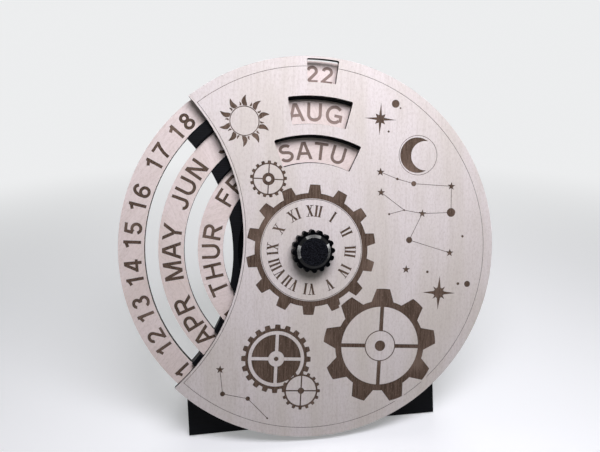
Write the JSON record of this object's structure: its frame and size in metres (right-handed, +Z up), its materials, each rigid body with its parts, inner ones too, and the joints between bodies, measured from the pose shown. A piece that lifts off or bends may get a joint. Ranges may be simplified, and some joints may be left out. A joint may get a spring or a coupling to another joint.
{
  "type": "perpetual desk calendar",
  "caption": "Leaning round desk calendar: turning date, month and weekday rings show through windows in a wooden face held by a centre knob on a wedge stand.",
  "frame": {"origin": "on the table, at the middle of the overall footprint", "axes": "+Z up, the face looks towards -Y and leans back, +X to the viewer's right"},
  "size_m": [0.1991, 0.0782, 0.1967],
  "materials": {
    "birch_plywood": "bare laser-cut plywood",
    "black_print": "printed, fine layer lines",
    "black_knob": "printed, textured top and smooth bevel",
    "zinc_steel": "zinc plated",
    "brass": "turned and knurled",
    "nylon": "natural nylon",
    "rubber": "soft matt rubber"
  },
  "bodies": {
    "back": {"back_frame": "black_print", "stand": "black_print", "centre_bolt": "zinc_steel", "plate_bush": "nylon", "stand_screws": "zinc_steel", "screw_washers": "zinc_steel", "threaded_inserts": "brass", "rubber_feet": "rubber"},
    "front": {"front_plate": "birch_plywood", "nylon_washer": "nylon"},
    "date_ring": {"date_ring": "birch_plywood"},
    "month_ring": {"month_ring": "birch_plywood"},
    "weekday_ring": {"weekday_ring": "birch_plywood"},
    "clamp": {"spring_washer": "zinc_steel"},
    "knob": {"knob": "black_knob", "knob_nut": "zinc_steel"}
  },
  "joints": [
    {"name": "date_ring_turn", "type": "hinge", "parent": "back", "child": "date_ring", "pos_m": [0, -0.0132, 0.10007], "axis": [0, -0.9659, 0.2588], "continuous": true},
    {"name": "month_ring_turn", "type": "hinge", "parent": "back", "child": "month_ring", "pos_m": [0, -0.0132, 0.10007], "axis": [0, -0.9659, 0.2588], "continuous": true},
    {"name": "weekday_ring_turn", "type": "hinge", "parent": "back", "child": "weekday_ring", "pos_m": [0, -0.0132, 0.10007], "axis": [0, -0.9659, 0.2588], "continuous": true},
    {"name": "front_plate_turn", "type": "hinge", "parent": "back", "child": "front", "pos_m": [0, -0.0132, 0.10007], "axis": [0, -0.9659, 0.2588], "continuous": true},
    {"name": "knob_travel", "type": "slide", "parent": "back", "child": "clamp", "axis": [0, -0.9659, 0.2588], "range_m": [0, 0.0008]},
    {"name": "knob_turn", "type": "hinge", "parent": "clamp", "child": "knob", "pos_m": [0, -0.0132, 0.10007], "axis": [0, -0.9659, 0.2588], "range_deg": [0, 360]}
  ],
  "couplings": [
    {"joint": "knob_travel", "follows": "knob_turn", "m_per_rad": 0.00012732}
  ]
}
